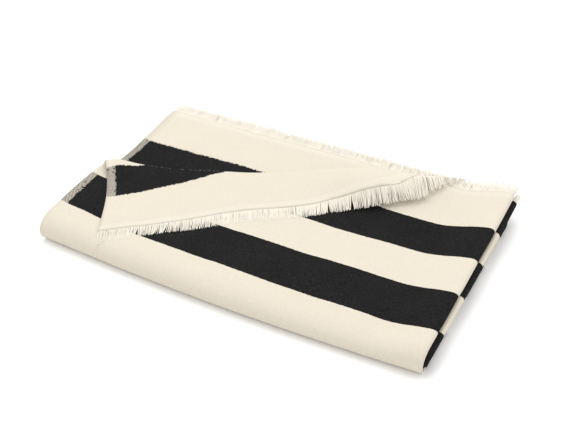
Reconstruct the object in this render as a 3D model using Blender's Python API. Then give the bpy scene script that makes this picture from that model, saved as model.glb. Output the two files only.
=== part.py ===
"""A striped beach towel with fringed ends. It is folded in half across its width, then in three
along its length, and one corner of the top layer is laid over toward the front.

X runs along the stripes toward the lengthwise fold, +Y toward the fringed ends, +Z up.
The cloth is drawn flat first: `across` runs from 0 at the lengthwise fold to half the width at
either selvedge, positive on the half that ends on top, and `along` runs from one woven end to
the other. place() then folds any flat point. Metres throughout.
"""
import math
from collections import namedtuple

import bmesh
import bpy
import numpy as np
from mathutils import Vector

# ---- the cloth as it is cut ----
CLOTH_WIDTH = 1.010
CLOTH_LENGTH = 1.800
THICKNESS = 0.0016
PITCH = 0.0024            # from one layer's middle to the next one's
HALF_WIDTH = CLOTH_WIDTH / 2
HALF_PITCH = PITCH / 2
TOP_PANEL_LENGTH = CLOTH_LENGTH / 6

# ---- the fringe: loose warp ends past each woven end ----
FRINGE_GAP = 0.00095      # between the woven end and the strip that holds the strands
FRINGE_STRIP = 0.0030
FRINGE_THICKNESS = 0.0012
FRINGE_LENGTH = 0.023
STRANDS_PER_END = 100
SHORTEST_STRAND = 0.85    # as a share of the longest
STRAND_JOINTS = (0.5, 1.0)
STRAND_TAPER = 0.55
FRINGE_LEAN = 0.0022      # how far a strand's tip wanders along the edge
STRAIGHT_LEAN = 0.3       # the draw at which a strand doesn't lean
FRINGE_DROOP = 0.0006
STRAND_DRAWS_SEED = 7

# ---- the folded bundle, measured from the front roll's foremost line ----
TOP_END_Y = 0.306         # the woven end on top
INNER_END_Y = 0.308       # the other woven end, just below it

# Each panel is a pair of layers, joined at the lengthwise fold. Its level counts pairs from the floor.
Panel = namedtuple("Panel", "name level edge_x bulb")
PANELS = (
    Panel("top", 5, 0.5000, 0.0042),
    Panel("bottom", 0, 0.4990, 0.0013),
    Panel("third", 3, 0.4965, 0.0017),
    Panel("fourth", 2, 0.4975, 0.0015),
    Panel("fifth", 1, 0.4985, 0.0014),
    Panel("second", 4, 0.5045, 0.0036),
)
BULB_REACH = 0.066        # the lengthwise fold's thick rim thins out over this width
TURN_PINCH = 0.45         # and it is pressed flatter where the bundle turns

# How a pair of layers faces as it goes round the turns: half turns so far, and which way it goes on.
HALF_TURNS_BEFORE = np.array([0, 1, 2, 3, 2, 1])
CLOCKWISE = np.array([1, 1, 1, -1, -1, 1])

# The turns between one panel and the next, in the order in which the cloth runs through them.
Turn = namedtuple("Turn", "name front apex_y upper_reach lower_reach")
TURNS = (
    Turn("outer front roll", True, 0.0021, 0.0200, 0.0100),
    Turn("outer back turn", False, None, 0.0085, 0.0085),
    Turn("middle fold", True, 0.0146, 0.0026, 0.0026),
    Turn("inner back turn", False, None, 0.0026, 0.0026),
    Turn("inner front turn", True, 0.0076, 0.0125, 0.0085),
)

# Where the pile of layers stands higher or lower than its own thickness.
Swell = namedtuple("Swell", "name x y reach_x reach_y height")
SWELLS = (
    Swell("back turns", 0.25, 0.34, 2.00, 0.075, 0.011),
    Swell("back right corner", 0.50, 0.34, 0.06, 0.07, -0.006),
    Swell("front left of the roll", 0.00, 0.04, 0.10, 0.07, 0.006),
    Swell("left hollow", 0.00, 0.19, 0.12, 0.05, -0.005),
    Swell("before the middle", 0.20, 0.03, 0.09, 0.05, 0.003),
    Swell("ripple left of the middle", 0.16, 0.09, 0.07, 0.05, -0.004),
    Swell("right of the flap", 0.30, 0.16, 0.08, 0.06, -0.005),
    Swell("dip behind on the right", 0.40, 0.23, 0.07, 0.06, -0.005),
    Swell("front of the right rim", 0.49, 0.03, 0.05, 0.05, -0.005),
    Swell("right rim", 0.49, 0.12, 0.05, 0.06, -0.003),
)
FRONT_BOW = 0.0085        # the front roll bows out in the middle
FRONT_BOW_DEPTH = 0.080
SIDE_DRIFT = 0.005        # the free side lies askew, further out behind than in front
SIDE_DRIFT_MIDDLE = 0.095 # it crosses its straight line here
SIDE_DRIFT_REACH = 0.050
SELVEDGE_CURL = 0.0013    # and its top edge curls up
SELVEDGE_CURL_WIDTH = 0.014

# ---- the corner of the top layer that is laid over toward the front ----
FLAP_START = Vector((0.0, 0.143))
FLAP_ANGLE = math.radians(23)
FLAP_SHEAR = 0.60         # the corner is laid over askew, drawn back toward the selvedge
FLAP_SHEAR_REACH = 0.19   # past this depth the shear grows straight on
FlapLead = namedtuple("FlapLead", "run lead")
FLAP_LEADS = (            # how far its woven edge leads a plain fold, along the crease
    FlapLead(0.00, 0.000),
    FlapLead(0.15, 0.011),
    FlapLead(0.30, 0.017),
    FlapLead(0.35, 0.030),
)
FLAP_LEAD_REACH = 0.035   # the lead sets in over this width past the crease
FLAP_LEAD_BAND = 0.070    # and only this far in from the woven end
FLAP_REST = 0.0025        # from the top layer's middle to the flap's
STEEPEST_FALL = 0.97      # how far round the front roll the flap follows it, as a sine
FLAP_SETTLE = 0.032       # the flap comes down to rest over this width
CREASE_RADIUS = 0.0030    # the crease is rounder where it puffs up at its two ends
CreasePuff = namedtuple("CreasePuff", "name run reach extra")
CREASE_PUFFS = (
    CreasePuff("at the selvedge", 0.015, 0.020, 0.0035),
    CreasePuff("at the woven end", 0.355, 0.055, 0.0080),
)

# The crease bows: the cloth folds over along one line and comes to lie along another.
CREASE_BOW_TOP = 0.17     # the bow is one wave along the crease, with its top here
CREASE_BOW_WAVE = 0.38
CREASE_BOW_END = 0.37     # past here it fades out
CREASE_BOW_FADE = 0.06
BOW_ON_CLOTH = 0.016
BOW_ON_CLOTH_SHIFT = 0.005
BOW_IN_PLAN = -0.007
BOW_IN_PLAN_SHIFT = 0.002
# The layer in front of the crease is drawn along over this depth, less at the woven end.
SLACK_REACH = 0.125
SLACK_NARROW = 0.30
X_AT_FOLD = PANELS[0].edge_x + (math.pi / 2 - 1) * PANELS[0].bulb   # where `across` is 0, flat

# ---- how finely the solids are drawn ----
RUN_ROWS = (10, 5, 5, 5, 5, 6)
TURN_ROWS = (12, 8, 6, 6, 9)
CREASE_CUTS = np.arange(-0.008, 0.0325, 0.0024)
PATH_STEPS = 120
NORMAL_STEP = 0.0004
RIM_COLUMNS = (0.0010, 0.0021, 0.0038, 0.0060, 0.0090, 0.0150)
FLAT_COLUMNS = np.linspace(0.026, HALF_WIDTH, 11)

CREAM = (0.86, 0.80, 0.69)
ROUGHNESS = 0.95


# ---------------------------------------------------------------- the path through the bundle
def turn_centres(turn, back_y):
    """The y at which a turn's upper and lower halves start."""
    if turn.front:
        return turn.apex_y + turn.upper_reach, turn.apex_y + turn.lower_reach
    return back_y, back_y


def path_samples(back_y):
    """The middle of the layer pair from the top woven end to the other: y, panel pair and mix."""
    rows, here = [], TOP_END_Y
    for index, panel in enumerate(PANELS):
        last = index == len(TURNS)
        if last:
            there = INNER_END_Y
        else:
            upper, lower = turn_centres(TURNS[index], back_y)
            goes_down = PANELS[index + 1].level < panel.level
            there = upper if goes_down else lower
        for step in np.linspace(0, 1, PATH_STEPS):
            rows.append((here + (there - here) * step, index, 0.0, 0.0, panel.level))
        if last:
            break
        turn, after = TURNS[index], PANELS[index + 1]
        for angle in np.linspace(0, math.pi, PATH_STEPS)[1:]:
            mix = (1 - math.cos(angle)) / 2
            high = (angle < math.pi / 2) == goes_down
            reach = turn.upper_reach if high else turn.lower_reach
            centre = upper if high else lower
            side = -1 if turn.front else 1
            level = panel.level + (after.level - panel.level) * mix
            rows.append((centre + side * reach * math.sin(angle), index, mix, math.sin(angle), level))
        here = lower if goes_down else upper
    return np.array(rows)


def path_length(samples):
    heights = 2 * PITCH * samples[:, 4]
    steps = np.hypot(np.diff(samples[:, 0]), np.diff(heights))
    return np.concatenate([[0.0], np.cumsum(steps)])


def settle_path():
    """The back turns lie where the whole cloth's length comes out right."""
    trial = path_length(path_samples(TOP_END_Y))[-1]
    long_runs = 4
    back_y = TOP_END_Y + (CLOTH_LENGTH - trial) / long_runs
    samples = path_samples(back_y)
    return back_y, samples, path_length(samples)


BACK_Y, PATH, PATH_ALONG = settle_path()


# ---------------------------------------------------------------- heights in the bundle
def smooth(t):
    t = np.clip(t, 0, 1)
    return t * t * (3 - 2 * t)


def rim(x, edge_x, bulb):
    """Half the distance between a pair's layers at x: wide near the lengthwise fold."""
    near = 1 - smooth((edge_x - bulb - x) / BULB_REACH)
    return HALF_PITCH + (bulb - HALF_PITCH) * near


def level_middles(x):
    """The height of each panel's middle above the floor at x, before the bundle's swells."""
    middles = {}
    top = THICKNESS / 2 - PITCH
    for panel in sorted(PANELS, key=lambda p: p.level):
        half = rim(x, panel.edge_x, panel.bulb)
        middles[panel.level] = top + PITCH + half
        top = top + PITCH + 2 * half
    return middles


STACK = THICKNESS / 2 + (2 * len(PANELS) - 1) * PITCH


def swollen(x, y, z):
    """Lifts a height by the bundle's swells, leaving the bottom layer on the floor."""
    rise = np.zeros(np.broadcast(x, y).shape)
    for swell in SWELLS:
        rise = rise + swell.height * np.exp(
            -(((x - swell.x) / swell.reach_x) ** 2) - ((y - swell.y) / swell.reach_y) ** 2
        )
    floor_layer = THICKNESS / 2
    return floor_layer + (z - floor_layer) * (1 + rise / STACK)


def bowed(x, y):
    return y - FRONT_BOW * np.sin(np.pi * np.clip(x / HALF_WIDTH, 0, 1)) * np.exp(
        -((np.maximum(y, 0) / FRONT_BOW_DEPTH) ** 2)
    )


def drifted(x, y):
    askew = SIDE_DRIFT * np.tanh((y - SIDE_DRIFT_MIDDLE) / SIDE_DRIFT_REACH)
    return x - askew * (1 - smooth(x / HALF_WIDTH))


def selvedge_curl(across):
    near = across - HALF_WIDTH + SELVEDGE_CURL_WIDTH
    return SELVEDGE_CURL * smooth(near / SELVEDGE_CURL_WIDTH)


# ---------------------------------------------------------------- from flat to folded
def at(along, column):
    """A value of the path at any length along the cloth; the woven ends run on straight."""
    return np.interp(along, PATH_ALONG, PATH[:, column])


def bundle_point(across, along):
    """Where a flat point lies in the folded bundle, before the corner is laid over."""
    inside = np.clip(along, 0, CLOTH_LENGTH)
    index = np.floor(at(inside, 1) + 1e-6).astype(int)
    mix, arch = at(inside, 2), at(inside, 3)
    y = at(inside, 0) + np.maximum(-along, 0) + np.maximum(along - CLOTH_LENGTH, 0)
    after = np.minimum(index + 1, len(PANELS) - 1)
    edges = np.array([p.edge_x for p in PANELS])
    bulbs = np.array([p.bulb for p in PANELS])
    edge_x = edges[index] * (1 - mix) + edges[after] * mix
    full = bulbs[index] * (1 - mix) + bulbs[after] * mix
    bulb = HALF_PITCH + (full - HALF_PITCH) * (1 - TURN_PINCH * arch)
    run = np.abs(across)
    quarter = bulb * math.pi / 2
    around = run < quarter
    turned = np.minimum(run / bulb, math.pi / 2)
    x = np.where(around, edge_x - bulb + bulb * np.cos(turned), edge_x - bulb - (run - quarter))
    half = np.where(around, bulb * np.sin(turned), rim(x, edge_x, bulb)) * np.sign(across)
    half = half + selvedge_curl(across) * (index == 0) * (1 - mix)
    middles = level_middles(x)
    stack = np.stack([np.broadcast_to(middles[p.level], x.shape) for p in PANELS])
    pick = np.arange(x.size).reshape(x.shape)
    flat = stack.reshape(len(PANELS), -1)
    first = flat[index.ravel(), pick.ravel()].reshape(x.shape)
    second = flat[after.ravel(), pick.ravel()].reshape(x.shape)
    z = first * (1 - mix) + second * mix
    # The pair's normal turns with the path: up on the first run, forward in the front roll.
    rounding = np.arccos(np.clip(1 - 2 * mix, -1, 1))
    angle = HALF_TURNS_BEFORE[index] * math.pi + CLOCKWISE[index] * rounding
    y = y - half * np.sin(angle)
    z = z + half * np.cos(angle)
    return x, y, z


def top_height(x, y):
    """The top layer's middle, as a height over the plan, down over the front roll too."""
    top, floor = PANELS[0], PANELS[1]
    half = rim(x, top.edge_x, top.bulb)
    middles = level_middles(x)
    high = middles[top.level] + half
    centre = (middles[top.level] + middles[floor.level]) / 2
    roll = TURNS[0]
    start = roll.apex_y + roll.upper_reach
    over = np.clip((start - y) / (roll.upper_reach + half), 0, STEEPEST_FALL)
    fall = np.sqrt(1 - over**2)
    slope = over / fall * (high - centre) / roll.upper_reach
    return swollen(x, y, centre + (high - centre) * fall), np.sqrt(1 + slope**2)


def crease_radius(run):
    puffs = [p.extra * np.exp(-(((run - p.run) / p.reach) ** 2)) for p in CREASE_PUFFS]
    return CREASE_RADIUS + sum(puffs)


def crease_bows(run):
    """How far the crease bows off its straight line, on the cloth and as it lies."""
    wave = np.cos(2 * math.pi * (run - CREASE_BOW_TOP) / CREASE_BOW_WAVE)
    kept = 1 - smooth((run - CREASE_BOW_END) / CREASE_BOW_FADE)
    on_cloth = BOW_ON_CLOTH_SHIFT + BOW_ON_CLOTH * wave
    in_plan = BOW_IN_PLAN_SHIFT + BOW_IN_PLAN * wave
    return on_cloth * kept, in_plan * kept


def crease_over_width(across):
    """How far the crease bows along the cloth, at each place over the cloth's width."""
    cos = math.cos(FLAP_ANGLE)
    return crease_bows((X_AT_FOLD - across) / cos)[0] / cos


def to_crease(x, y):
    """How far along the crease a point of the pile lies, and how far past it."""
    cos, sin = math.cos(FLAP_ANGLE), math.sin(FLAP_ANGLE)
    run = (x - FLAP_START.x) * cos + (y - FLAP_START.y) * sin
    beyond = (y - FLAP_START.y) * cos - (x - FLAP_START.x) * sin
    return run, beyond


def place(across, along):
    """Where a flat point of the cloth's middle surface ends up, folded."""
    across, along = np.broadcast_arrays(np.asarray(across, float), np.asarray(along, float))
    x, y, z = bundle_point(across, along)
    cos, sin = math.cos(FLAP_ANGLE), math.sin(FLAP_ANGLE)
    run, beyond = to_crease(x, y)
    on_cloth, in_plan = crease_bows(run)
    radius = crease_radius(run)
    over = beyond - on_cloth + radius
    on_top = (across > 0) & (along < TOP_PANEL_LENGTH)
    on_flap = on_top & (over > 0)
    slack = np.interp(run, [0.0, CREASE_BOW_END], [SLACK_REACH, SLACK_REACH * SLACK_NARROW])
    drawn = (in_plan - on_cloth) * (1 - smooth(-over / slack)) * on_top
    x, y = x - drawn * sin, y + drawn * cos
    folded_z = swollen(x, y, z)
    turned = np.clip(over / radius, 0, math.pi)
    past = np.maximum(over - math.pi * radius, 0)
    reach = np.maximum(over, 0)
    laid = run - FLAP_SHEAR * reach**2 / (reach + FLAP_SHEAR_REACH)
    lead = np.interp(laid, [f.run for f in FLAP_LEADS], [f.lead for f in FLAP_LEADS])
    lead = lead * smooth(over / FLAP_LEAD_REACH) * (1 - smooth(along / FLAP_LEAD_BAND))
    back = in_plan - radius + radius * np.sin(turned) - past - lead
    flap_x = FLAP_START.x + laid * cos - back * sin
    flap_y = FLAP_START.y + laid * sin + back * cos
    base, steep = top_height(flap_x, flap_y)
    rising = radius * (1 - np.cos(turned))
    settle = np.exp(-((past / FLAP_SETTLE) ** 2))
    resting = FLAP_REST * steep
    hover = np.where(past > 0, resting + (2 * radius - resting) * settle, rising)
    hover = hover + selvedge_curl(across) * (1 - smooth(turned / math.pi))
    x = np.where(on_flap, flap_x, x)
    y = np.where(on_flap, flap_y, y)
    z = np.where(on_flap, base + hover, folded_z)
    return np.stack([drifted(x, y), bowed(x, y), z], axis=-1)


def place_off(across, along, out):
    """As place(), for a point that stands off the middle surface by `out`."""
    middle = place(across, along)
    d_across = place(across + NORMAL_STEP, along) - place(across - NORMAL_STEP, along)
    d_along = place(across, along + NORMAL_STEP) - place(across, along - NORMAL_STEP)
    normal = np.cross(d_across, d_along)
    normal /= np.linalg.norm(normal, axis=-1, keepdims=True)
    return middle + normal * np.asarray(out)[..., None]


# ---------------------------------------------------------------- meshes
def material(name, colour):
    made = bpy.data.materials.new(name)
    made.use_nodes = True
    shader = made.node_tree.nodes["Principled BSDF"]
    shader.inputs["Base Color"].default_value = (*colour, 1)
    shader.inputs["Roughness"].default_value = ROUGHNESS
    shader.inputs["Metallic"].default_value = 0.0
    return made


def add_object(name, bm, surface):
    mesh = bpy.data.meshes.new(name)
    bm.to_mesh(mesh)
    bm.free()
    mesh.materials.append(surface)
    mesh.shade_smooth()
    made = bpy.data.objects.new(name, mesh)
    bpy.context.scene.collection.objects.link(made)
    return made


def cloth_columns():
    """Lines across the cloth: close round the lengthwise fold, wide on the flat halves."""
    half = np.concatenate([RIM_COLUMNS, FLAT_COLUMNS])
    return np.concatenate([-half[::-1], [0.0], half])


def cloth_rows():
    """Lines along the cloth: at the stretches and through the turns of its path."""
    rows = []
    for index in range(len(PANELS)):
        inside = np.flatnonzero((PATH[:, 1] == index) & (PATH[:, 2] == 0))
        start, end = PATH_ALONG[inside[0]], PATH_ALONG[inside[-1]]
        rows.extend(np.linspace(start, end, RUN_ROWS[index]))
        if index == len(TURNS):
            break
        rounding = np.flatnonzero((PATH[:, 1] == index) & (PATH[:, 2] > 0))
        angles = np.arccos(1 - 2 * PATH[rounding, 2])
        wanted = np.linspace(0, math.pi, TURN_ROWS[index] + 1)[1:-1]
        rows.extend(np.interp(wanted, angles, PATH_ALONG[rounding]))
    return np.array(rows)


def flat_cloth():
    """The cut cloth as a flat grid, with extra lines where the corner's crease will run."""
    columns, rows = cloth_columns(), cloth_rows()
    bm = bmesh.new()
    bmesh.ops.create_grid(bm, x_segments=len(columns) - 1, y_segments=len(rows) - 1, size=0.5)
    for v in bm.verts:
        column = round((v.co.x + 0.5) * (len(columns) - 1))
        row = round((v.co.y + 0.5) * (len(rows) - 1))
        v.co = (columns[column], rows[row], 0)
    for v in bm.verts:
        v.co.y += crease_over_width(v.co.x)
    crease = Vector((math.cos(FLAP_ANGLE), math.sin(FLAP_ANGLE)))
    outward = Vector((-crease.y, crease.x))
    for cut in CREASE_CUTS:
        point = FLAP_START + outward * cut
        bmesh.ops.bisect_plane(
            bm,
            geom=bm.verts[:] + bm.edges[:] + bm.faces[:],
            dist=1e-6,
            plane_co=(X_AT_FOLD - point.x, TOP_END_Y - point.y, 0),
            plane_no=(-outward.x, -outward.y, 0),
        )
    for v in bm.verts:
        v.co.y -= crease_over_width(v.co.x)
    return bm


def folded(bm):
    """Moves the points of a flat bmesh to their places in the bundle; z is the height off the middle."""
    flat = np.array([v.co[:] for v in bm.verts])
    for v, point in zip(bm.verts, place_off(flat[:, 0], flat[:, 1], flat[:, 2])):
        v.co = point


def add_cloth(surface):
    bm = flat_cloth()
    folded(bm)
    cloth = add_object("towel_cloth", bm, surface)
    body = cloth.modifiers.new("thickness", "SOLIDIFY")
    body.thickness = THICKNESS
    body.offset = 0
    body.use_even_offset = True
    return cloth


def add_fringe(name, woven_end, outward, surface):
    """One end's loose warp: a strip beside the woven end, and strands drawn out of its outer face."""
    columns = 2 * STRANDS_PER_END + 1
    near = woven_end + outward * FRINGE_GAP
    far = near + outward * FRINGE_STRIP
    bm = bmesh.new()
    bmesh.ops.create_grid(bm, x_segments=columns, y_segments=1, size=0.5)
    for v in bm.verts:
        v.co = (v.co.x * CLOTH_WIDTH, near if v.co.y * outward < 0 else far, -FRINGE_THICKNESS / 2)
    base = bm.faces[:]
    raised = bmesh.ops.extrude_face_region(bm, geom=base)
    for v in (g for g in raised["geom"] if isinstance(g, bmesh.types.BMVert)):
        v.co.z = FRINGE_THICKNESS / 2
    bm.normal_update()
    rim = [f for f in bm.faces if f.normal.y * outward > 0.9]
    rim.sort(key=lambda f: f.calc_center_median().x)
    draws = np.random.default_rng(STRAND_DRAWS_SEED).random((len(rim), 3))
    for number, face in enumerate(rim):
        if number % 2 == 0:
            continue
        lean, droop, length = draws[number]
        drawn_to = SHORTEST_STRAND + (1 - SHORTEST_STRAND) * length
        reach = (FRINGE_LENGTH - FRINGE_STRIP) * drawn_to
        for share in STRAND_JOINTS:
            face = bmesh.ops.extrude_discrete_faces(bm, faces=[face])["faces"][0]
            middle = face.calc_center_median()
            for v in face.verts:
                v.co.x = middle.x + (v.co.x - middle.x) * (1 - STRAND_TAPER / 2)
                v.co.z = middle.z + (v.co.z - middle.z) * (1 - STRAND_TAPER / 2)
                v.co.x += FRINGE_LEAN * (lean - STRAIGHT_LEAN) * share
                v.co.y += outward * reach / len(STRAND_JOINTS)
                v.co.z += FRINGE_DROOP * (droop - 0.5) * share
    bmesh.ops.recalc_face_normals(bm, faces=bm.faces[:])
    folded(bm)
    return add_object(name, bm, surface)


def centre_on_floor(objects):
    """Moves the whole part so that the middle of its box's underside is the origin."""
    points = np.concatenate([[v.co[:] for v in o.data.vertices] for o in objects])
    middle = (points.min(axis=0) + points.max(axis=0)) / 2
    for o in objects:
        for v in o.data.vertices:
            v.co.x -= middle[0]
            v.co.y -= middle[1]


def main():
    for old in list(bpy.data.objects):
        bpy.data.objects.remove(old, do_unlink=True)
    cotton = material("woven cotton", CREAM)
    parts = [
        add_cloth(cotton),
        add_fringe("fringe_top_end", 0.0, -1, material("fringe cotton, top end", CREAM)),
        add_fringe("fringe_inner_end", CLOTH_LENGTH, 1, material("fringe cotton, inner end", CREAM)),
    ]
    centre_on_floor(parts)


main()
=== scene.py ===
# %% [markdown]
# # A striped beach towel, folded
# The real towel is a single woven cotton cloth, 1.01 x 1.80 m, cream with black cross stripes and a
# loose fringe at both ends. It is halved across its width, folded in three along its length, and
# one corner of the top layer is laid over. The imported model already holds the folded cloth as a
# plain solid. This script dresses it: a finer cloth on the same folds, the stripes and the weave,
# and hundreds of loose yarns.

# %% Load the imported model
import math
from collections import namedtuple

import bmesh
import bpy
import numpy as np
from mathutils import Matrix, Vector


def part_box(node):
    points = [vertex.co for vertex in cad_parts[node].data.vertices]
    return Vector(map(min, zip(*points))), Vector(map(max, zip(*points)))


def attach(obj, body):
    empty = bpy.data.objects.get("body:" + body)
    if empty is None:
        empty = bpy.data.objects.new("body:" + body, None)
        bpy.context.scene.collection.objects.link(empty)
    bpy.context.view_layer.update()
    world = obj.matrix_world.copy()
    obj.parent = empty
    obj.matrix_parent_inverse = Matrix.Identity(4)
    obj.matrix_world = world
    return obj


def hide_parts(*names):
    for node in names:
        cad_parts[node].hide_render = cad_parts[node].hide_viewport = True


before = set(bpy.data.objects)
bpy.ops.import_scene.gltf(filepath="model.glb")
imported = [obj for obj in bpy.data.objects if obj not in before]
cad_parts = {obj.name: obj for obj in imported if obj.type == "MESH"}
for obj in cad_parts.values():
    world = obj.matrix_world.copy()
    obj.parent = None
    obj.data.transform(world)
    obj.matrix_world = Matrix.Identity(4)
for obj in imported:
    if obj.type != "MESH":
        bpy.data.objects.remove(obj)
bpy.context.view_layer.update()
print("nodes:", ", ".join(sorted(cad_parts)))

# %% [markdown]
# ## The cloth as it is cut
# A fold is easiest to describe as a rule that takes a point of the flat cloth to its place in the
# pile, because the stripes and the weave can then be drawn flat and simply follow. `across` is 0
# at the lengthwise fold and half the width at either selvedge, and it is positive on the half that
# ends on top. `along` runs from one woven end to the other. The sizes are those of the solid.

# %% The cloth's sizes
CLOTH_WIDTH = 1.010
CLOTH_LENGTH = 1.800
HALF_WIDTH = CLOTH_WIDTH / 2
THICKNESS = 0.0016
PITCH = 0.0024
HALF_PITCH = PITCH / 2
TOP_END_Y = 0.306
INNER_END_Y = 0.308
PATH_STEPS = 120

Panel = namedtuple("Panel", "name level edge_x bulb")
PANELS = (
    Panel("top", 5, 0.5000, 0.0042),
    Panel("bottom", 0, 0.4990, 0.0013),
    Panel("third", 3, 0.4965, 0.0017),
    Panel("fourth", 2, 0.4975, 0.0015),
    Panel("fifth", 1, 0.4985, 0.0014),
    Panel("second", 4, 0.5045, 0.0036),
)
Turn = namedtuple("Turn", "name front apex_y upper_reach lower_reach")
TURNS = (
    Turn("outer front roll", True, 0.0021, 0.0200, 0.0100),
    Turn("outer back turn", False, None, 0.0085, 0.0085),
    Turn("middle fold", True, 0.0146, 0.0026, 0.0026),
    Turn("inner back turn", False, None, 0.0026, 0.0026),
    Turn("inner front turn", True, 0.0076, 0.0125, 0.0085),
)
BULB_REACH = 0.066
TURN_PINCH = 0.45
print(len(PANELS), "pairs of layers,", len(TURNS), "turns between them")

# %% [markdown]
# ## The path through the pile
# Seen from the side, the doubled cloth is one line that runs back and forth. Each panel is a
# straight stretch, and each turn is half an ellipse. The back turns are put where the line's whole
# length comes out at exactly the cloth's length.

# %% Walk the path
def turn_centres(turn, back_y):
    """The y at which a turn's upper and lower halves start."""
    if turn.front:
        return turn.apex_y + turn.upper_reach, turn.apex_y + turn.lower_reach
    return back_y, back_y


def path_samples(back_y):
    """Points from the top woven end to the other: y, panel, mix, arch and level."""
    rows, here = [], TOP_END_Y
    for index, panel in enumerate(PANELS):
        last = index == len(TURNS)
        if last:
            there = INNER_END_Y
        else:
            upper, lower = turn_centres(TURNS[index], back_y)
            goes_down = PANELS[index + 1].level < panel.level
            there = upper if goes_down else lower
        for step in np.linspace(0, 1, PATH_STEPS):
            rows.append((here + (there - here) * step, index, 0.0, 0.0, panel.level))
        if last:
            break
        turn, after = TURNS[index], PANELS[index + 1]
        for angle in np.linspace(0, math.pi, PATH_STEPS)[1:]:
            mix = (1 - math.cos(angle)) / 2
            high = (angle < math.pi / 2) == goes_down
            reach = turn.upper_reach if high else turn.lower_reach
            centre = upper if high else lower
            side = -1 if turn.front else 1
            level = panel.level + (after.level - panel.level) * mix
            rows.append(
                (centre + side * reach * math.sin(angle), index, mix, math.sin(angle), level)
            )
        here = lower if goes_down else upper
    return np.array(rows)


def path_length(samples):
    heights = 2 * PITCH * samples[:, 4]
    steps = np.hypot(np.diff(samples[:, 0]), np.diff(heights))
    return np.concatenate([[0.0], np.cumsum(steps)])


LONG_RUNS = 4
spare = CLOTH_LENGTH - path_length(path_samples(TOP_END_Y))[-1]
PATH = path_samples(TOP_END_Y + spare / LONG_RUNS)
PATH_ALONG = path_length(PATH)
print("path length:", round(PATH_ALONG[-1], 4), "m")

# %% [markdown]
# ## Where the pile swells
# Real layers aren't flat: air is caught where the cloth turns, and the lengthwise fold keeps a
# thick rim. The swells are soft hills and hollows of the whole pile. They lift every layer in
# proportion to its height, so no layer can pass through its neighbour. A few broad ripples on top
# of them are too small for the solid but show in raking light.

# %% The swells and ripples
Swell = namedtuple("Swell", "name x y reach_x reach_y height")
SWELLS = (
    Swell("back turns", 0.25, 0.34, 2.00, 0.075, 0.011),
    Swell("back right corner", 0.50, 0.34, 0.06, 0.07, -0.006),
    Swell("front left of the roll", 0.00, 0.04, 0.10, 0.07, 0.006),
    Swell("left hollow", 0.00, 0.19, 0.12, 0.05, -0.005),
    Swell("before the middle", 0.20, 0.03, 0.09, 0.05, 0.003),
    Swell("ripple left of the middle", 0.16, 0.09, 0.07, 0.05, -0.004),
    Swell("right of the flap", 0.30, 0.16, 0.08, 0.06, -0.005),
    Swell("dip behind on the right", 0.40, 0.23, 0.07, 0.06, -0.005),
    Swell("front of the right rim", 0.49, 0.03, 0.05, 0.05, -0.005),
    Swell("right rim", 0.49, 0.12, 0.05, 0.06, -0.003),
)
FRONT_BOW = 0.0085
FRONT_BOW_DEPTH = 0.080
SIDE_DRIFT = 0.005
SIDE_DRIFT_MIDDLE = 0.095
SIDE_DRIFT_REACH = 0.050
SELVEDGE_CURL = 0.0013
SELVEDGE_CURL_WIDTH = 0.014
STACK = THICKNESS / 2 + (2 * len(PANELS) - 1) * PITCH

ripple_draws = np.random.default_rng(5)
RIPPLE_COUNT = 9
RIPPLE_LENGTHS = ripple_draws.uniform(0.045, 0.130, RIPPLE_COUNT)
RIPPLE_HEADINGS = ripple_draws.uniform(0, math.pi, RIPPLE_COUNT)
RIPPLE_PHASES = ripple_draws.uniform(0, 2 * math.pi, RIPPLE_COUNT)
RIPPLE_HEIGHT = 0.00016


def smooth(t):
    t = np.clip(t, 0, 1)
    return t * t * (3 - 2 * t)


def ripples(x, y):
    height = np.zeros(np.broadcast(x, y).shape)
    for length, heading, phase in zip(RIPPLE_LENGTHS, RIPPLE_HEADINGS, RIPPLE_PHASES):
        run = x * math.cos(heading) + y * math.sin(heading)
        height = height + RIPPLE_HEIGHT * np.sin(2 * math.pi * run / length + phase)
    return height


def swollen(x, y, z):
    """Lifts a height by the pile's swells, leaving the bottom layer on the floor."""
    rise = ripples(x, y)
    for swell in SWELLS:
        rise = rise + swell.height * np.exp(
            -(((x - swell.x) / swell.reach_x) ** 2) - ((y - swell.y) / swell.reach_y) ** 2
        )
    floor_layer = THICKNESS / 2
    return floor_layer + (z - floor_layer) * (1 + rise / STACK)


def bowed(x, y):
    """The front roll bows out toward the middle."""
    bulge = FRONT_BOW * np.sin(np.pi * np.clip(x / HALF_WIDTH, 0, 1))
    return y - bulge * np.exp(-((np.maximum(y, 0) / FRONT_BOW_DEPTH) ** 2))


def drifted(x, y):
    """The free side lies askew: further out at the back than at the front."""
    askew = SIDE_DRIFT * np.tanh((y - SIDE_DRIFT_MIDDLE) / SIDE_DRIFT_REACH)
    return x - askew * (1 - smooth(x / HALF_WIDTH))


print("swells:", ", ".join(swell.name for swell in SWELLS))

# %% [markdown]
# ## Folding into the pile
# Each panel is a pair of layers, joined at the lengthwise fold on the right. The fold there is a
# small half round of its own, so a pair is wide at its rim and thins out to two flat layers. The
# pair's normal turns with the path: that carries the upper layer to the outside of each turn.

# %% From flat to the pile
def rim(x, edge_x, bulb):
    """Half the distance between a pair's layers: wide near the lengthwise fold."""
    near = 1 - smooth((edge_x - bulb - x) / BULB_REACH)
    return HALF_PITCH + (bulb - HALF_PITCH) * near


def level_middles(x):
    """The height of each panel's middle above the floor, before the swells."""
    middles = {}
    top = THICKNESS / 2 - PITCH
    for panel in sorted(PANELS, key=lambda p: p.level):
        half = rim(x, panel.edge_x, panel.bulb)
        middles[panel.level] = top + PITCH + half
        top = top + PITCH + 2 * half
    return middles


PAIR_TURNS = np.array([0.0, math.pi, 2 * math.pi, 3 * math.pi, 2 * math.pi, math.pi])
PAIR_CLOCKWISE = np.array([1, 1, 1, -1, -1, 1])


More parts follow.
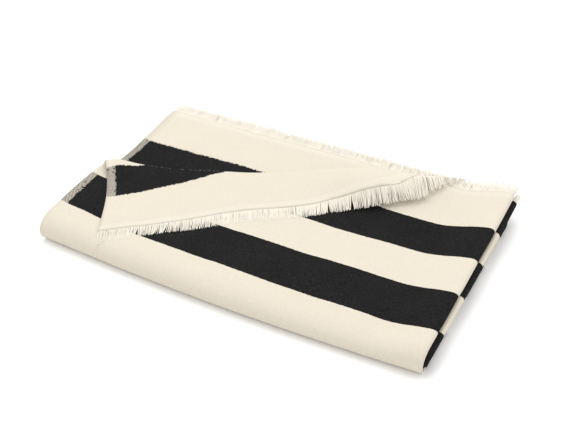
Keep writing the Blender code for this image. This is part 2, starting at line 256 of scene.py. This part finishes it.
def pile_point(across, along):
    """Where a flat point lies in the pile, before the corner is laid over."""
    inside = np.clip(along, 0, CLOTH_LENGTH)
    index = np.floor(np.interp(inside, PATH_ALONG, PATH[:, 1]) + 1e-6).astype(int)
    mix = np.interp(inside, PATH_ALONG, PATH[:, 2])
    arch = np.interp(inside, PATH_ALONG, PATH[:, 3])
    y = np.interp(inside, PATH_ALONG, PATH[:, 0])
    y = y + np.maximum(-along, 0) + np.maximum(along - CLOTH_LENGTH, 0)
    after = np.minimum(index + 1, len(PANELS) - 1)
    edges = np.array([p.edge_x for p in PANELS])
    bulbs = np.array([p.bulb for p in PANELS])
    edge_x = edges[index] * (1 - mix) + edges[after] * mix
    full = bulbs[index] * (1 - mix) + bulbs[after] * mix
    bulb = HALF_PITCH + (full - HALF_PITCH) * (1 - TURN_PINCH * arch)
    run = np.abs(across)
    quarter = bulb * math.pi / 2
    around = run < quarter
    turned = np.minimum(run / bulb, math.pi / 2)
    x = np.where(around, edge_x - bulb + bulb * np.cos(turned), edge_x - bulb - (run - quarter))
    half = np.where(around, bulb * np.sin(turned), rim(x, edge_x, bulb)) * np.sign(across)
    half = half + selvedge_curl(across) * (index == 0) * (1 - mix)
    middles = level_middles(x)
    stack = np.stack([np.broadcast_to(middles[p.level], x.shape) for p in PANELS])
    flat = stack.reshape(len(PANELS), -1)
    pick = np.arange(x.size)
    first = flat[index.ravel(), pick].reshape(x.shape)
    second = flat[after.ravel(), pick].reshape(x.shape)
    z = first * (1 - mix) + second * mix
    angle = PAIR_TURNS[index] + PAIR_CLOCKWISE[index] * np.arccos(np.clip(1 - 2 * mix, -1, 1))
    return x, y - half * np.sin(angle), z + half * np.cos(angle)


def selvedge_curl(across):
    """The free edge of the top layer curls up a little."""
    near = across - HALF_WIDTH + SELVEDGE_CURL_WIDTH
    return SELVEDGE_CURL * smooth(near / SELVEDGE_CURL_WIDTH)


def top_height(x, y):
    """The top layer's height over the plan, down over the front roll too, and its steepness."""
    top, floor = PANELS[0], PANELS[1]
    half = rim(x, top.edge_x, top.bulb)
    middles = level_middles(x)
    high = middles[top.level] + half
    centre = (middles[top.level] + middles[floor.level]) / 2
    roll = TURNS[0]
    start = roll.apex_y + roll.upper_reach
    over = np.clip((start - y) / (roll.upper_reach + half), 0, STEEPEST_FALL)
    fall = np.sqrt(1 - over**2)
    slope = over / fall * (high - centre) / roll.upper_reach
    return swollen(x, y, centre + (high - centre) * fall), np.sqrt(1 + slope**2)


# %% [markdown]
# ## The corner that is laid over
# The corner of the top layer turns over a crease that runs from the selvedge to the woven end. The
# crease is a soft roll, not a knife edge: it is puffed at both ends, where nothing holds it down.
# Past the crease the cloth comes down to rest on the layer below, a little askew.

# %% From the pile to the laid-over corner
FLAP_START = Vector((0.0, 0.143))
FLAP_ANGLE = math.radians(23)
FLAP_SHEAR = 0.60
FLAP_SHEAR_REACH = 0.19
FLAP_LEAD_REACH = 0.035
FLAP_LEAD_BAND = 0.070
STEEPEST_FALL = 0.97
FLAP_REST = 0.0025
FLAP_SETTLE = 0.032
CREASE_RADIUS = 0.0030
CreasePuff = namedtuple("CreasePuff", "name run reach extra")
CREASE_PUFFS = (
    CreasePuff("at the selvedge", 0.015, 0.020, 0.0035),
    CreasePuff("at the woven end", 0.355, 0.055, 0.0080),
)
CREASE_BOW_TOP = 0.17      # the bow is one wave along the crease, with its top here
CREASE_BOW_WAVE = 0.38
CREASE_BOW_END = 0.37      # past here it fades out
CREASE_BOW_FADE = 0.06
BOW_ON_CLOTH = 0.016
BOW_ON_CLOTH_SHIFT = 0.005
BOW_IN_PLAN = -0.007
BOW_IN_PLAN_SHIFT = 0.002
# The layer in front of the crease is drawn along over this depth, less at the woven end.
SLACK_REACH = 0.125
SLACK_NARROW = 0.30
FlapLead = namedtuple("FlapLead", "run lead")
FLAP_LEADS = (            # how far its woven edge leads a plain fold, along the crease
    FlapLead(0.00, 0.000),
    FlapLead(0.15, 0.011),
    FlapLead(0.30, 0.017),
    FlapLead(0.35, 0.030),
)
X_AT_FOLD = PANELS[0].edge_x + (math.pi / 2 - 1) * PANELS[0].bulb


def crease_radius(run):
    puffs = [p.extra * np.exp(-(((run - p.run) / p.reach) ** 2)) for p in CREASE_PUFFS]
    return CREASE_RADIUS + sum(puffs)


def crease_bows(run):
    """How far the crease bows off its straight line, on the cloth and as it lies."""
    wave = np.cos(2 * math.pi * (run - CREASE_BOW_TOP) / CREASE_BOW_WAVE)
    kept = 1 - smooth((run - CREASE_BOW_END) / CREASE_BOW_FADE)
    on_cloth = BOW_ON_CLOTH_SHIFT + BOW_ON_CLOTH * wave
    in_plan = BOW_IN_PLAN_SHIFT + BOW_IN_PLAN * wave
    return on_cloth * kept, in_plan * kept


def crease_over_width(across):
    """How far the crease bows along the cloth, at each place over the cloth's width."""
    cos = math.cos(FLAP_ANGLE)
    return crease_bows((X_AT_FOLD - across) / cos)[0] / cos


def to_crease(x, y):
    """How far along the crease a point of the pile lies, and how far past it."""
    cos, sin = math.cos(FLAP_ANGLE), math.sin(FLAP_ANGLE)
    run = (x - FLAP_START.x) * cos + (y - FLAP_START.y) * sin
    beyond = (y - FLAP_START.y) * cos - (x - FLAP_START.x) * sin
    return run, beyond


def place(across, along):
    """Where a flat point of the cloth's middle surface ends up, folded."""
    across, along = np.broadcast_arrays(np.asarray(across, float), np.asarray(along, float))
    x, y, z = pile_point(across, along)
    cos, sin = math.cos(FLAP_ANGLE), math.sin(FLAP_ANGLE)
    run, beyond = to_crease(x, y)
    on_cloth, in_plan = crease_bows(run)
    radius = crease_radius(run)
    over = beyond - on_cloth + radius
    on_top = (across > 0) & (along < CLOTH_LENGTH / 6)
    on_flap = on_top & (over > 0)
    slack = np.interp(run, [0.0, CREASE_BOW_END], [SLACK_REACH, SLACK_REACH * SLACK_NARROW])
    drawn = (in_plan - on_cloth) * (1 - smooth(-over / slack)) * on_top
    x, y = x - drawn * sin, y + drawn * cos
    folded_z = swollen(x, y, z)
    turned = np.clip(over / radius, 0, math.pi)
    past = np.maximum(over - math.pi * radius, 0)
    reach = np.maximum(over, 0)
    laid = run - FLAP_SHEAR * reach**2 / (reach + FLAP_SHEAR_REACH)
    lead = np.interp(laid, [f.run for f in FLAP_LEADS], [f.lead for f in FLAP_LEADS])
    lead = lead * smooth(over / FLAP_LEAD_REACH) * (1 - smooth(along / FLAP_LEAD_BAND))
    back = in_plan - radius + radius * np.sin(turned) - past - lead
    flap_x = FLAP_START.x + laid * cos - back * sin
    flap_y = FLAP_START.y + laid * sin + back * cos
    base, steep = top_height(flap_x, flap_y)
    rising = radius * (1 - np.cos(turned))
    settle = np.exp(-((past / FLAP_SETTLE) ** 2))
    resting = FLAP_REST * steep
    hover = np.where(past > 0, resting + (2 * radius - resting) * settle, rising)
    hover = hover + selvedge_curl(across) * (1 - smooth(turned / math.pi))
    x = np.where(on_flap, flap_x, x)
    y = np.where(on_flap, flap_y, y)
    z = np.where(on_flap, base + hover, folded_z)
    return np.stack([drifted(x, y), bowed(x, y), z], axis=-1)


# %% [markdown]
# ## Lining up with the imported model
# The rule above measures from the front roll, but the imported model's origin is the middle of its
# underside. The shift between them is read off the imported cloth's own box.

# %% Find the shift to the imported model's frame
LINE_UP_STEP = 0.004
probe_across = np.arange(-HALF_WIDTH, HALF_WIDTH + LINE_UP_STEP, LINE_UP_STEP)
probe_along = np.arange(0, CLOTH_LENGTH + LINE_UP_STEP, LINE_UP_STEP)
probe = place(*np.meshgrid(probe_across.clip(-HALF_WIDTH, HALF_WIDTH), probe_along))
probe = probe.reshape(-1, 3)
cloth_box = [np.array(corner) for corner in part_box("towel_cloth")]
SHIFT = (cloth_box[0] + cloth_box[1]) / 2 - (probe.min(axis=0) + probe.max(axis=0)) / 2
SHIFT[2] = 0.0
print("shift, mm:", np.round(SHIFT * 1000, 2))

# %% [markdown]
# ## The cloth's mesh
# A grid is the natural start for cloth. Its lines lie 4 mm apart on the top half, where the
# camera looks, and wider in the hidden layers. They crowd together round the rim, in the turns and
# at the crease, where bisect cuts add lines that run with the fold. Solidify gives the sheet its
# thickness and puts a second material on its reverse.

# %% The grid's lines
VISIBLE_STEP = 0.0042
HIDDEN_STEP = 0.017
RIM_LINES = np.array([
    0.0007, 0.0014, 0.0022, 0.0031, 0.0042, 0.0055, 0.0070, 0.0088, 0.0110, 0.0138, 0.0172, 0.0212,
])
RUN_ROWS = (74, 12, 8, 8, 8, 12)
TURN_ROWS = (30, 14, 10, 10, 14)


def cloth_columns():
    first = RIM_LINES[-1]
    top = np.linspace(first, HALF_WIDTH, round((HALF_WIDTH - first) / VISIBLE_STEP) + 1)[1:]
    under = np.linspace(first, HALF_WIDTH, round((HALF_WIDTH - first) / HIDDEN_STEP) + 1)[1:]
    under = np.concatenate([RIM_LINES, under])
    return np.concatenate([-under[::-1], [0.0], RIM_LINES, top])


def cloth_rows():
    rows = []
    for index in range(len(PANELS)):
        inside = np.flatnonzero((PATH[:, 1] == index) & (PATH[:, 2] == 0))
        start, end = PATH_ALONG[inside[0]], PATH_ALONG[inside[-1]]
        rows.extend(np.linspace(start, end, RUN_ROWS[index]))
        if index == len(TURNS):
            break
        rounding = np.flatnonzero((PATH[:, 1] == index) & (PATH[:, 2] > 0))
        angles = np.arccos(1 - 2 * PATH[rounding, 2])
        wanted = np.linspace(0, math.pi, TURN_ROWS[index] + 1)[1:-1]
        rows.extend(np.interp(wanted, angles, PATH_ALONG[rounding]))
    return np.array(rows)


columns, rows = cloth_columns(), cloth_rows()
print("grid:", len(columns), "columns,", len(rows), "rows")

# %% Draw the flat grid and cut it along the crease
CREASE_CUTS = np.concatenate([np.arange(-0.0085, 0.0085, 0.0009), np.arange(0.0085, 0.030, 0.0022)])

flat = bmesh.new()
bmesh.ops.create_grid(flat, x_segments=len(columns) - 1, y_segments=len(rows) - 1, size=0.5)
for v in flat.verts:
    column = round((v.co.x + 0.5) * (len(columns) - 1))
    row = round((v.co.y + 0.5) * (len(rows) - 1))
    v.co = (columns[column], rows[row], 0)
for v in flat.verts:
    v.co.y += crease_over_width(v.co.x)
crease_line = Vector((math.cos(FLAP_ANGLE), math.sin(FLAP_ANGLE)))
crease_out = Vector((-crease_line.y, crease_line.x))
for cut in CREASE_CUTS:
    point = FLAP_START + crease_out * float(cut)
    near = [f for f in flat.faces if f.calc_center_median().x > 0 and f.calc_center_median().y < 0.32]
    parts = set(near)
    for f in near:
        parts.update(f.edges)
        parts.update(f.verts)
    bmesh.ops.bisect_plane(
        flat,
        geom=list(parts),
        dist=1e-5,
        plane_co=(X_AT_FOLD - point.x, TOP_END_Y - point.y, 0),
        plane_no=(-crease_out.x, -crease_out.y, 0),
    )
for v in flat.verts:
    v.co.y -= crease_over_width(v.co.x)
print("flat cloth:", len(flat.faces), "faces")

# %% [markdown]
# ## Fold it, and remember where each point was
# The flat position goes into the UV map in metres before the points move, so that the stripes can
# be painted by length. A second value marks how sharply the cloth is bent at the crease, where the
# pile opens and pale yarns show between the black ones.

# %% Fold the cloth
uv = flat.loops.layers.uv.new("flat")
bend = flat.verts.layers.float.new("bend")
BEND_WIDTH = 0.0026
BEND_TURN = 0.8
for f in flat.faces:
    for loop in f.loops:
        loop[uv].uv = loop.vert.co.xy
points = np.array([v.co[:] for v in flat.verts])
pile_x, pile_y, pile_z = pile_point(points[:, 0], points[:, 1])
crease_run, crease_beyond = to_crease(pile_x, pile_y)
crease_beyond = crease_beyond - crease_bows(crease_run)[0]
past_top = crease_beyond + crease_radius(crease_run) * (1 - math.pi * BEND_TURN)
bends = np.exp(-((past_top / BEND_WIDTH) ** 2)) * (points[:, 0] > 0) * (points[:, 1] < 0.3)
for v, place_now, sharp in zip(flat.verts, place(points[:, 0], points[:, 1]) + SHIFT, bends):
    v.co = place_now
    v[bend] = sharp
cloth_mesh = bpy.data.meshes.new("cloth")
flat.to_mesh(cloth_mesh)
flat.free()
cloth_mesh.shade_smooth()
cloth = bpy.data.objects.new("cloth", cloth_mesh)
bpy.context.scene.collection.objects.link(cloth)
body = cloth.modifiers.new("thickness", "SOLIDIFY")
body.thickness = THICKNESS
body.offset = 0
body.use_even_offset = True
body.material_offset = 1
body.material_offset_rim = 0
print("cloth:", len(cloth_mesh.polygons), "faces before its thickness")

# %% [markdown]
# ## Small helpers for the finishes
# A material is a net of nodes. Short helpers keep the recipes readable: they add a node and fill
# its sockets, do a sum, or mix two colours. Anything that is the same all over the surface is set on
# the shader itself.

# %% Node helpers
def add_node(tree, kind, inputs=(), **settings):
    made = tree.nodes.new(kind)
    for name, value in settings.items():
        setattr(made, name, value)
    for key, value in dict(inputs).items():
        if isinstance(value, bpy.types.NodeSocket):
            tree.links.new(value, made.inputs[key])
        else:
            made.inputs[key].default_value = value
    return made


def calc(tree, operation, *values, clamp=False):
    inputs = dict(enumerate(values))
    made = add_node(tree, "ShaderNodeMath", inputs, operation=operation, use_clamp=clamp)
    return made.outputs[0]


def blend_colours(tree, share, first, second):
    made = tree.nodes.new("ShaderNodeMix")
    made.data_type = "RGBA"
    for socket, value in ((0, share), (6, first), (7, second)):
        if isinstance(value, bpy.types.NodeSocket):
            tree.links.new(value, made.inputs[socket])
        else:
            made.inputs[socket].default_value = value
    return made.outputs[2]


def new_finish(name):
    made = bpy.data.materials.new(name)
    made.use_nodes = True
    return made, made.node_tree, made.node_tree.nodes["Principled BSDF"]


# %% [markdown]
# ## The striped weave
# The warp is cream from end to end, and the weft changes colour: that is why the fringe is cream,
# and why the selvedge of a black stripe is grey, as bare warp and weft mix there. On the face the
# stripes end on a clean line. On the reverse each yarn steps a little, so the line is ragged.
# Stripes are drawn by length from the flat UV map, and a fine rib with fuzz on it is a bump.

# %% The weave's sizes and colours
END_BAND = 0.075
STRIPE_WIDTH = 0.0637
STRIPE_COUNT = 26.5
YARN = 0.00125
PICK = 0.0014
SELVEDGE_WIDTH = 0.0100
SELVEDGE_TEETH = 0.0022
HEADER = 0.0115
HEADER_LINE = 0.0007
FACE_RAGGEDNESS = 0.0006
REVERSE_RAGGEDNESS = 0.0028
CREAM = (0.660, 0.608, 0.516, 1)
CREAM_SHADE = (0.608, 0.552, 0.454, 1)
# a lighter cream, painted as a highlight on the header band
CREAM_PAINTED_HIGHLIGHT = (0.700, 0.652, 0.564, 1)
BLACK = (0.0058, 0.0058, 0.0060, 1)
BLACK_LIGHT = (0.0216, 0.0211, 0.0208, 1)
RIB_DEPTH = 0.00035
CHECK_CELL = 0.0013
CHECK_SHARE = 0.70
SPECK_LEVEL = 0.71
GRIN_LEVEL = 0.58
GRIN_PALENESS = 0.20
TONE_CONTRAST = 2.8
FUZZ_SHARE = 0.88
FUZZ_SCALE = 620.0
CLOUD_SCALE = 28.0


def noise(tree, where, scale, detail):
    made = add_node(tree, "ShaderNodeTexNoise", {"Vector": where, "Scale": scale, "Detail": detail})
    return made.outputs[0]


def cell_noise(tree, first, second=0.0):
    cell = add_node(tree, "ShaderNodeCombineXYZ", {0: first, 1: second})
    made = add_node(tree, "ShaderNodeTexWhiteNoise", {"Vector": cell.outputs[0]})
    return made.outputs["Value"]


def weave_finish(name, raggedness):
    made, tree, shader = new_finish(name)
    place_on_cloth = add_node(tree, "ShaderNodeUVMap", uv_map="flat").outputs[0]
    split = add_node(tree, "ShaderNodeSeparateXYZ", {0: place_on_cloth})
    u, v = split.outputs[0], split.outputs[1]
    yarn = calc(tree, "FLOOR", calc(tree, "DIVIDE", u, YARN))
    pick = calc(tree, "FLOOR", calc(tree, "DIVIDE", v, PICK))
    # stripes
    stagger = calc(tree, "MULTIPLY", calc(tree, "SUBTRACT", cell_noise(tree, yarn), 0.5), raggedness)
    past_end = calc(tree, "SUBTRACT", calc(tree, "ADD", v, stagger), END_BAND)
    bands = calc(tree, "DIVIDE", past_end, STRIPE_WIDTH)
    bands = calc(tree, "MINIMUM", calc(tree, "MAXIMUM", bands, -0.5), STRIPE_COUNT)
    dark = calc(tree, "LESS_THAN", calc(tree, "FRACT", calc(tree, "MULTIPLY", bands, 0.5)), 0.5)
    # selvedge
    inward = calc(tree, "SUBTRACT", HALF_WIDTH, calc(tree, "ABSOLUTE", u))
    step = calc(tree, "MULTIPLY", cell_noise(tree, pick, 7.0), SELVEDGE_TEETH)
    teeth = calc(tree, "ADD", inward, step)
    in_selvedge = calc(tree, "LESS_THAN", teeth, SELVEDGE_WIDTH + SELVEDGE_TEETH / 2)
    dot_u = calc(tree, "FLOOR", calc(tree, "DIVIDE", u, CHECK_CELL))
    dot_v = calc(tree, "FLOOR", calc(tree, "DIVIDE", v, CHECK_CELL))
    checks = calc(tree, "MODULO", calc(tree, "ADD", dot_u, dot_v), 2.0)
    checks = calc(tree, "ABSOLUTE", checks)
    regular = calc(tree, "MULTIPLY", checks, CHECK_SHARE)
    uneven = calc(tree, "MULTIPLY", cell_noise(tree, dot_u, dot_v), 1 - CHECK_SHARE)
    speck = calc(tree, "ADD", regular, uneven)
    speck = calc(tree, "GREATER_THAN", speck, SPECK_LEVEL)
    pale = calc(tree, "MULTIPLY", in_selvedge, speck)
    # pale yarns between the black ones where the crease bends them apart
    bent = add_node(tree, "ShaderNodeAttribute", attribute_name="bend").outputs["Fac"]
    parted = calc(tree, "MULTIPLY", bent, cell_noise(tree, yarn, 3.0))
    grin = calc(tree, "GREATER_THAN", parted, GRIN_LEVEL)
    pale = calc(tree, "MAXIMUM", pale, calc(tree, "MULTIPLY", grin, GRIN_PALENESS))
    blackness = calc(tree, "MULTIPLY", dark, calc(tree, "SUBTRACT", 1.0, pale))
    # cotton's own unevenness
    object_place = add_node(tree, "ShaderNodeTexCoord").outputs["Object"]
    fuzz = noise(tree, object_place, FUZZ_SCALE, 3.0)
    cloud = noise(tree, object_place, CLOUD_SCALE, 4.0)
    fine = calc(tree, "MULTIPLY", fuzz, FUZZ_SHARE)
    broad = calc(tree, "MULTIPLY", cloud, 1 - FUZZ_SHARE)
    tone = calc(tree, "ADD", fine, broad)
    tone = calc(tree, "MULTIPLY_ADD", calc(tree, "SUBTRACT", tone, 0.5), TONE_CONTRAST, 0.5, clamp=True)
    # the woven header band at each woven end, its cream painted lighter as a highlight, and the fine
    # line where it starts
    from_end = calc(tree, "MINIMUM", v, calc(tree, "SUBTRACT", CLOTH_LENGTH, v))
    header = calc(tree, "LESS_THAN", from_end, HEADER)
    line = calc(tree, "COMPARE", from_end, HEADER, HEADER_LINE)
    cream = blend_colours(tree, tone, CREAM_SHADE, CREAM)
    # painted highlight: the header band is made lighter
    cream = blend_colours(tree, calc(tree, "MULTIPLY", header, 0.35), cream, CREAM_PAINTED_HIGHLIGHT)
    cream = blend_colours(tree, calc(tree, "MULTIPLY", line, 0.45), cream, CREAM_SHADE)
    black = blend_colours(tree, tone, BLACK, BLACK_LIGHT)
    colour = blend_colours(tree, blackness, cream, black)
    tree.links.new(colour, shader.inputs["Base Color"])
    # the rib: one ridge a yarn, crossed by the picks
    rib_u = calc(tree, "SINE", calc(tree, "MULTIPLY", u, 2 * math.pi / YARN))
    rib_v = calc(tree, "SINE", calc(tree, "MULTIPLY", v, 2 * math.pi / PICK))
    rib = calc(tree, "MULTIPLY", rib_u, rib_v)
    height = calc(tree, "ADD", calc(tree, "MULTIPLY", rib, 0.30), fuzz)
    bump = add_node(tree, "ShaderNodeBump", {"Height": height, "Distance": RIB_DEPTH, "Strength": 0.55})
    tree.links.new(bump.outputs[0], shader.inputs["Normal"])
    shader.inputs["Roughness"].default_value = 0.93
    shader.inputs["Specular IOR Level"].default_value = 0.05
    return made


face_weave = weave_finish("weave, face", FACE_RAGGEDNESS)
reverse_weave = weave_finish("weave, reverse", REVERSE_RAGGEDNESS)
cloth.data.materials.append(face_weave)
cloth.data.materials.append(reverse_weave)
print("finishes:", face_weave.name, "/", reverse_weave.name)

# %% [markdown]
# ## The fringe
# Past the last pick the warp yarns hang loose. They cling together in small locks, lean one way or
# the other and curl a little. A yarn is a thin curve, so one curve object holds a whole end. Each
# yarn follows the folding rule past the woven end, and sags onto what lies below.

# %% The yarns of one end
YARN_PITCH = 0.00078
YARN_RADIUS = 0.00050
YARN_POINTS = 8
YARN_ROOT = 0.0016
FRINGE_LENGTH = 0.0235
LENGTH_RANGE = (0.88, 1.04)
LOCK_SIZES = (3, 12)
LOCK_LEAN = 0.0008
LOCK_PINCH = (0.0, 0.20)
YARN_CURL = 0.00030
STRAY_LEAN = 0.0003
SAG_ON_CLOTH = 0.0016
SAG_FREE = (-0.0003, 0.0010)


def fringe_roots(draws):
    """Each yarn's place on the edge, its lock's middle, and its lock's own lean, pinch and sag."""
    roots = np.arange(-HALF_WIDTH + YARN_PITCH, HALF_WIDTH - YARN_PITCH / 2, YARN_PITCH)
    roots = roots + draws.normal(0, YARN_PITCH / 6, len(roots))
    middles, leans, pinches, sags = (np.zeros(len(roots)) for _ in range(4))
    start = 0
    while start < len(roots):
        stop = min(start + draws.integers(*LOCK_SIZES), len(roots))
        middles[start:stop] = roots[start:stop].mean()
        leans[start:stop] = draws.normal(0, LOCK_LEAN)
        pinches[start:stop] = draws.uniform(*LOCK_PINCH)
        sags[start:stop] = draws.uniform(*SAG_FREE)
        start = stop
    return roots, middles, leans, pinches, sags


def add_fringe(name, woven_end, outward, seed):
    draws = np.random.default_rng(seed)
    roots, middles, leans, pinches, sags = fringe_roots(draws)
    count = len(roots)
    lengths = FRINGE_LENGTH * draws.uniform(*LENGTH_RANGE, count)
    phases = draws.uniform(0, 2 * math.pi, count)
    curls = YARN_CURL * draws.uniform(0.3, 1.6, count)
    stray = draws.normal(0, STRAY_LEAN, count)
    t = np.linspace(0, 1, YARN_POINTS)[None, :]
    tips = (middles - roots) * pinches + leans + stray
    sideways = tips[:, None] * t**1.3
    sideways = sideways + curls[:, None] * np.sin(phases[:, None] + 5.0 * t) * t
    across = np.clip(roots[:, None] + sideways, -HALF_WIDTH + 0.0004, HALF_WIDTH - 0.0004)
    along = woven_end + outward * (lengths[:, None] * t - YARN_ROOT)
    path = place(across, along) + SHIFT
    x, y, z = pile_point(roots, np.full(count, woven_end))
    beyond = to_crease(x, y)[1]
    lies = (beyond > 0.002) & (roots > 0) & (outward < 0)
    drop = np.where(lies[:, None], SAG_ON_CLOTH * smooth(t * 1.6), sags[:, None] * t**1.7)
    path[..., 2] -= drop
    path[..., 2] += 0.25 * curls[:, None] * np.cos(phases[:, None] + 4.0 * t) * t
    curve = bpy.data.curves.new(name, "CURVE")
    curve.dimensions = "3D"
    curve.bevel_depth = YARN_RADIUS
    curve.bevel_resolution = 0
    curve.use_fill_caps = True
    thins = np.interp(t[0], [0, 0.3, 1.0], [1.0, 0.95, 0.60])
    for yarn in path:
        spline = curve.splines.new("POLY")
        spline.points.add(YARN_POINTS - 1)
        spline.points.foreach_set("co", np.column_stack([yarn, np.ones(YARN_POINTS)]).ravel())
        spline.points.foreach_set("radius", thins)
    made = bpy.data.objects.new(name, curve)
    bpy.context.scene.collection.objects.link(made)
    print(name, count, "yarns")
    return made


top_fringe = add_fringe("fringe_top", 0.0, -1, seed=11)
inner_fringe = add_fringe("fringe_inner", CLOTH_LENGTH, 1, seed=12)

# %% [markdown]
# ## The yarns' finish
# Loose cotton yarn is the cloth's cream, painted a touch lighter all over: painted light that stands
# in for light getting through the thin yarns and lifting the shade between them. The colour drifts
# from lock to lock, and a fine bump stands for the twist and the fuzz.

# %% Finish the yarns
yarn_finish, yarn_tree, yarn_shader = new_finish("loose cotton yarn")
YARN_TONE_SCALE = 260.0
YARN_FUZZ_SCALE = 1500.0
# painted light: both yarn creams are lighter than the cloth's cream, to lift the shade between strands
YARN_CREAM_PAINTED_LIT = (0.780, 0.731, 0.636, 1)
YARN_CREAM_PAINTED_LIT_PALE = (0.818, 0.777, 0.695, 1)
yarn_place = add_node(yarn_tree, "ShaderNodeTexCoord").outputs["Object"]
yarn_tone = noise(yarn_tree, yarn_place, YARN_TONE_SCALE, 2.0)
yarn_fuzz = noise(yarn_tree, yarn_place, YARN_FUZZ_SCALE, 2.0)
# the yarn colour drifts between the two painted-lighter creams
painted_lit_yarn_colour = blend_colours(yarn_tree, yarn_tone, YARN_CREAM_PAINTED_LIT, YARN_CREAM_PAINTED_LIT_PALE)
yarn_tree.links.new(painted_lit_yarn_colour, yarn_shader.inputs["Base Color"])
yarn_relief = {"Height": yarn_fuzz, "Distance": 0.0002, "Strength": 0.5}
yarn_bump = add_node(yarn_tree, "ShaderNodeBump", yarn_relief)
yarn_tree.links.new(yarn_bump.outputs[0], yarn_shader.inputs["Normal"])
yarn_shader.inputs["Roughness"].default_value = 0.92
yarn_shader.inputs["Specular IOR Level"].default_value = 0.08
yarn_shader.inputs["Sheen Weight"].default_value = 0.02
for fringe in (top_fringe, inner_fringe):
    fringe.data.materials.append(yarn_finish)

# %% [markdown]
# ## Hand the pieces to the frame
# The cloth and its fringes stand for the three imported solids.

# %% Ride and replace
for piece, node, finish_slot in (
    (cloth, "towel_cloth", "woven_cotton"),
    (top_fringe, "fringe_top_end", "fringe_cotton"),
    (inner_fringe, "fringe_inner_end", "fringe_cotton"),
):
    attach(piece, "root")
    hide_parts(node)

# %% [markdown]
# ## Floor, light and camera
# The towel lies on a plain white floor under a large soft light from above, with an even white
# surround, so the shade is gentle and the shadow is faint. The camera looks down from the front
# right, as in the photograph.

# %% The floor
FLOOR_SIZE = 4.0
floor_bm = bmesh.new()
bmesh.ops.create_grid(floor_bm, x_segments=1, y_segments=1, size=FLOOR_SIZE)
floor_mesh = bpy.data.meshes.new("floor")
floor_bm.to_mesh(floor_mesh)
floor_bm.free()
floor = bpy.data.objects.new("floor", floor_mesh)
bpy.context.scene.collection.objects.link(floor)
floor_finish, floor_tree, floor_shader = new_finish("white floor")
floor_shader.inputs["Base Color"].default_value = (0.94, 0.94, 0.94, 1)
floor_shader.inputs["Roughness"].default_value = 0.9
floor_mesh.materials.append(floor_finish)

# %% The lights
world = bpy.data.worlds.new("white surround")
world.use_nodes = True
world.node_tree.nodes["Background"].inputs["Color"].default_value = (1.0, 1.0, 1.0, 1)
world.node_tree.nodes["Background"].inputs["Strength"].default_value = 1.06
bpy.context.scene.world = world


def add_soft_light(name, place_at, look_at, size, energy):
    data = bpy.data.lights.new(name, "AREA")
    data.shape = "SQUARE"
    data.size = size
    data.energy = energy
    made = bpy.data.objects.new(name, data)
    made.location = place_at
    made.rotation_euler = (Vector(look_at) - Vector(place_at)).to_track_quat("-Z", "Y").to_euler()
    bpy.context.scene.collection.objects.link(made)
    return made


add_soft_light("overhead", (-0.3, 0.5, 2.0), (0, 0, 0), 2.0, 24)

# %% The camera
CAMERA_FROM_ROLL = np.array([0.691, -0.645, 0.675])
CAMERA_TURN = math.radians(28.0)
CAMERA_DIP = math.radians(35.4)
LENS_PIXELS = 904.0
FRAME_WIDTH = 580
SENSOR = 36.0
ahead = Vector((
    -math.sin(CAMERA_TURN) * math.cos(CAMERA_DIP),
    math.cos(CAMERA_TURN) * math.cos(CAMERA_DIP),
    -math.sin(CAMERA_DIP),
))
camera_data = bpy.data.cameras.new("camera")
camera_data.sensor_width = SENSOR
camera_data.lens = LENS_PIXELS / FRAME_WIDTH * SENSOR
camera = bpy.data.objects.new("camera", camera_data)
camera.location = Vector(CAMERA_FROM_ROLL + SHIFT)
camera.rotation_euler = ahead.to_track_quat("-Z", "Y").to_euler()
bpy.context.scene.collection.objects.link(camera)
bpy.context.scene.camera = camera
bpy.context.scene.view_settings.view_transform = "Standard"
print("lens, mm:", round(camera_data.lens, 2))
